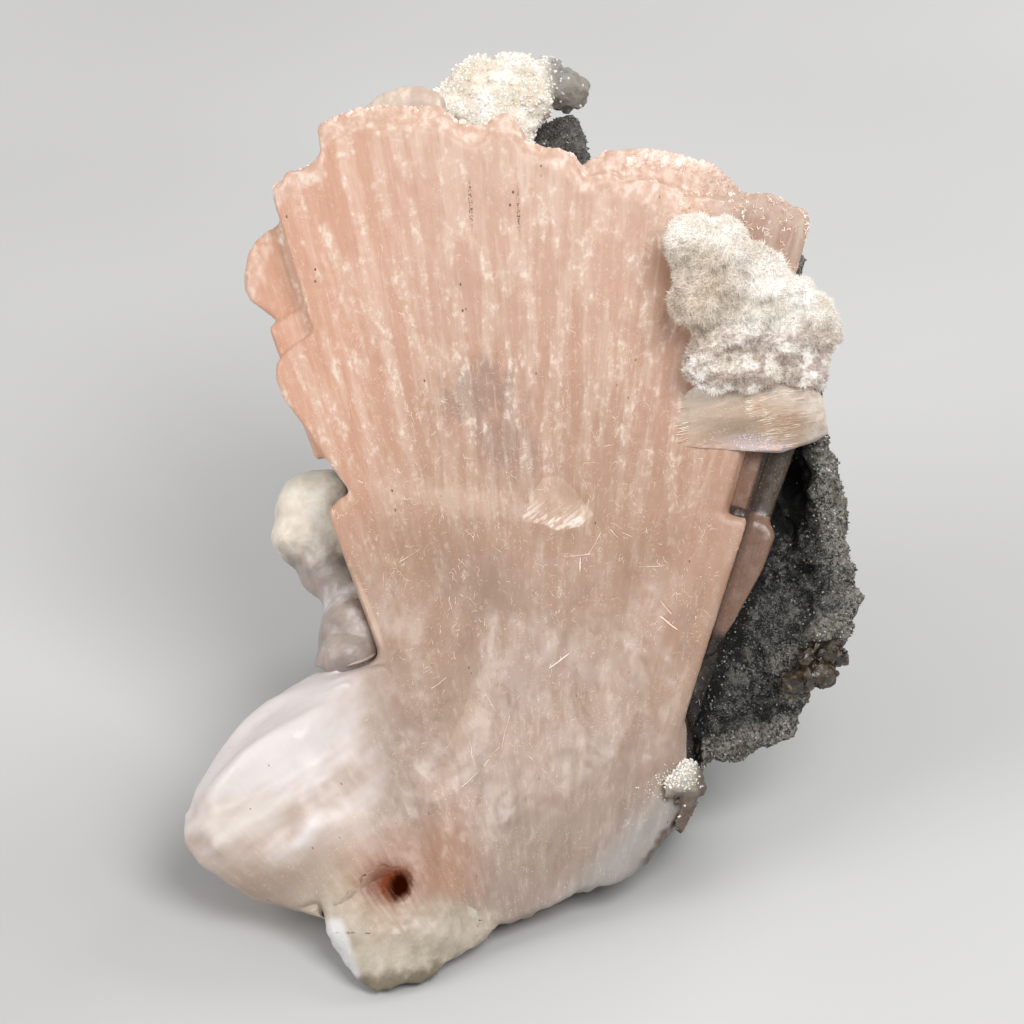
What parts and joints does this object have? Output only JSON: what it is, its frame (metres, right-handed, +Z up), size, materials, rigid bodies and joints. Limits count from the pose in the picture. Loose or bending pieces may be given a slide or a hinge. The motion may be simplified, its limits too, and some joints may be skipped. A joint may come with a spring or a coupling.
{
  "type": "mineral specimen",
  "caption": "Heulandite specimen: a pink fan of heulandite blades leaning on a lump of grey basalt, with a white fibrous tuft, a silky blade, pale side knobs and a chalky foot.",
  "frame": {"origin": "middle of the bounding box's bottom, on the surface that the specimen stands on", "axes": "+Z up, -Y to the front, where the pink face looks out and up, +X to the right as seen from the front"},
  "size_m": [0.0477, 0.0559, 0.0492],
  "materials": {
    "basalt": "rough, fine-grained",
    "heulandite": "pearly, translucent",
    "silky_cream": "silky",
    "white_fibre": "matt, fibrous",
    "pale_crystal": "satin",
    "chalk": "matt",
    "white_crust": "matt, granular",
    "brown_crystal": "glassy"
  },
  "bodies": {
    "root": {"basalt_matrix": "basalt", "heulandite_sheaf": "heulandite", "silky_blade": "silky_cream", "fibrous_tuft": "white_fibre", "side_knobs": "pale_crystal", "chalky_foot": "chalk", "top_crust": "white_crust", "edge_druse": "white_crust", "brown_crystals": "brown_crystal"}
  },
  "joints": []
}
